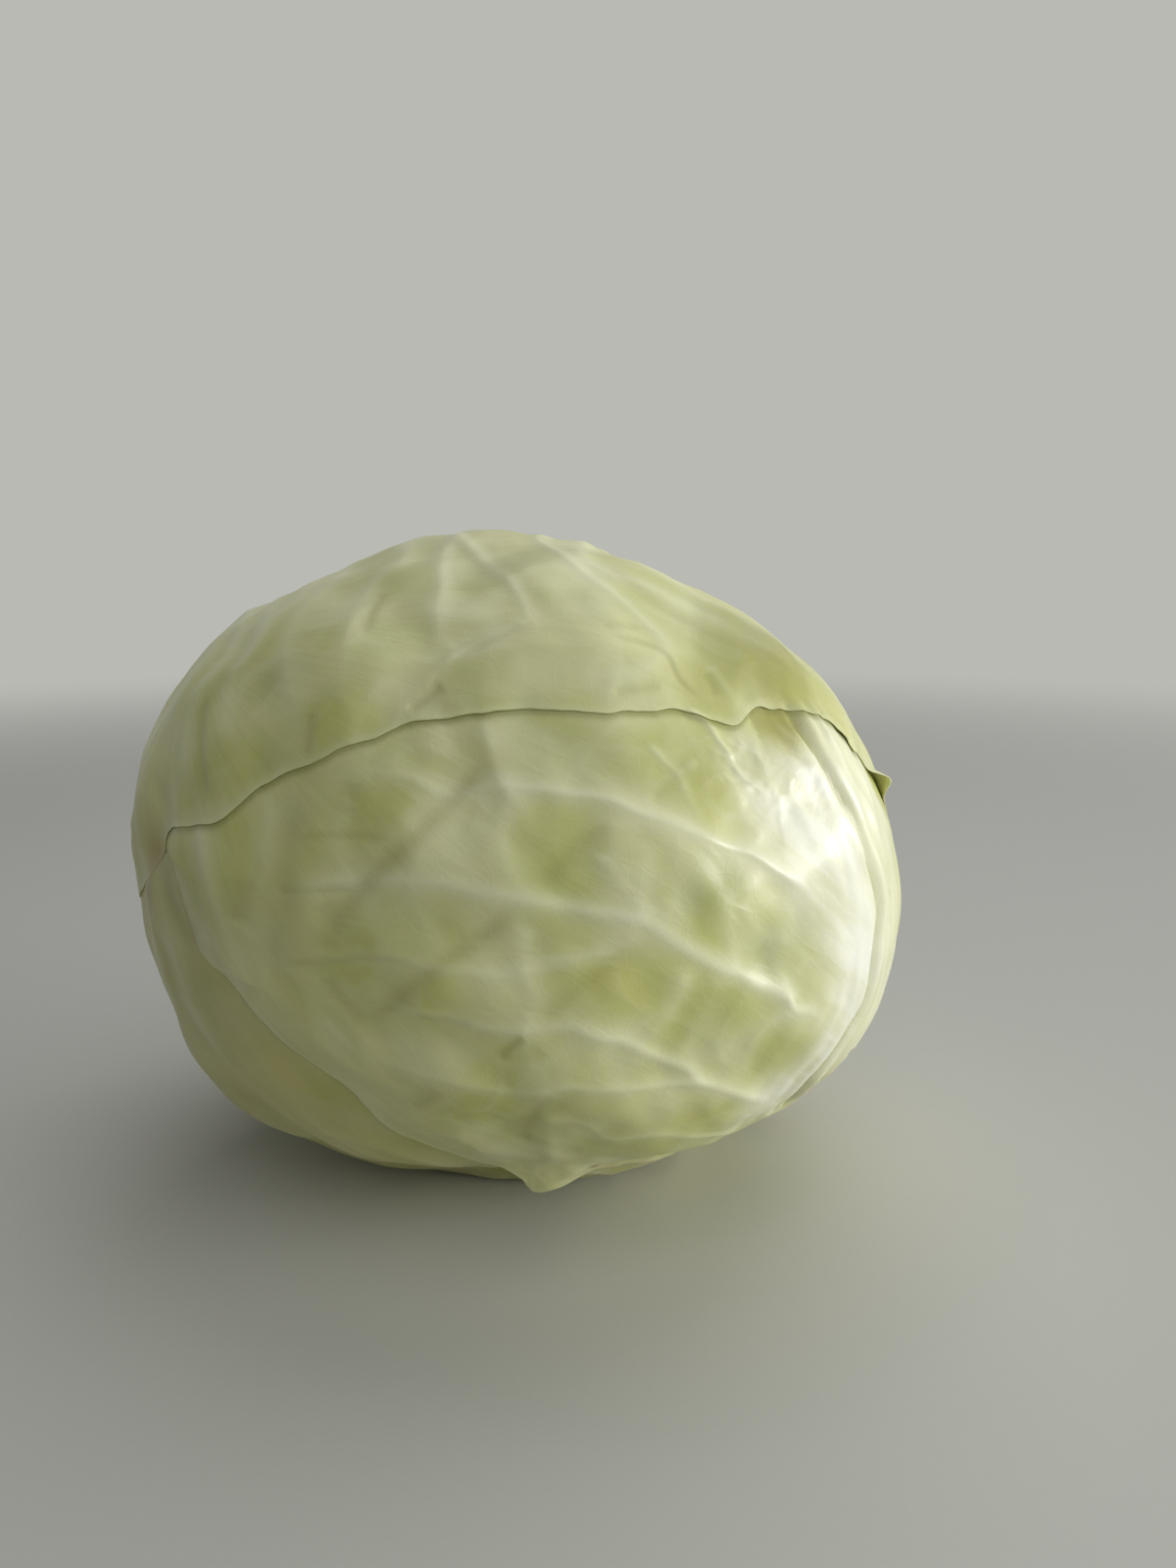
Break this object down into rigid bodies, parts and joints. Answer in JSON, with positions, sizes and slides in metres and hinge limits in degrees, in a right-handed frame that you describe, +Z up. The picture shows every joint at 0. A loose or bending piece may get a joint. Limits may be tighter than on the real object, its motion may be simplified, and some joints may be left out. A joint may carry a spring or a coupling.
{
  "type": "white cabbage",
  "caption": "Whole white cabbage lying on its side: a firm pale head wrapped in broad waxy leaves with raised white ribs, a torn leaf rim at one end and a cut stem behind.",
  "frame": {"origin": "on the surface the cabbage rests on, under the middle of its box", "axes": "+Z up, +X towards the right end, where the thick rib of the front leaf runs, and -Y towards the front"},
  "size_m": [0.1805, 0.1643, 0.1554],
  "materials": {
    "leaf": "waxy pale green leaf, whiter along the ribs",
    "head": "waxy, paler than the wrapper leaves",
    "stem": "dry cut, fibrous, browned at the edge"
  },
  "bodies": {
    "root": {"head": "head", "stem": "stem", "right_leaf": "leaf", "under_leaf": "leaf", "rear_leaf": "leaf", "left_leaf": "leaf", "front_leaf": "leaf", "upper_leaf": "leaf"}
  },
  "joints": []
}
